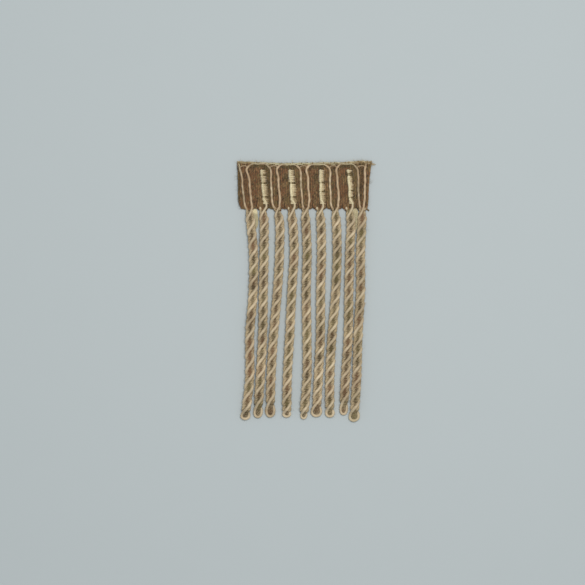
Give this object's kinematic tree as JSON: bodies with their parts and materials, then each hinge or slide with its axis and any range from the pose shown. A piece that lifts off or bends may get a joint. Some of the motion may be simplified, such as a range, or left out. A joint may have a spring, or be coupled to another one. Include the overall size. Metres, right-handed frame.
{
  "type": "fringe trim",
  "caption": "Bullion fringe trim: a woven heading with gimp arches and ribbed columns, over twisted cords that end in loops, for sewing to the edge of a curtain, cushion or sofa.",
  "frame": {"origin": "on the surface under the middle of the trim, which lies face up", "axes": "+X along the trim, +Y from the loops to the heading's top edge, +Z out of its face"},
  "size_m": [0.0778, 0.1505, 0.0059],
  "materials": {
    "heading_weave": "matt ribbed weave of brown yarn",
    "gimp": "beige wrapped gimp with a soft sheen",
    "cream_column": "cream yarn bound in ribs with a soft sheen",
    "cord": "twisted cord of brown yarn and beige gimp with a soft sheen"
  },
  "bodies": {
    "root": {"heading": "heading_weave", "gimp_line_left": "gimp", "gimp_line_right": "gimp", "gimp_arch_1": "gimp", "gimp_arch_2": "gimp", "gimp_arch_3": "gimp", "gimp_arch_4": "gimp", "cream_column_1": "cream_column", "cream_column_2": "cream_column", "cream_column_3": "cream_column", "cream_column_4": "cream_column", "bullion_fringe": "cord"}
  },
  "joints": []
}
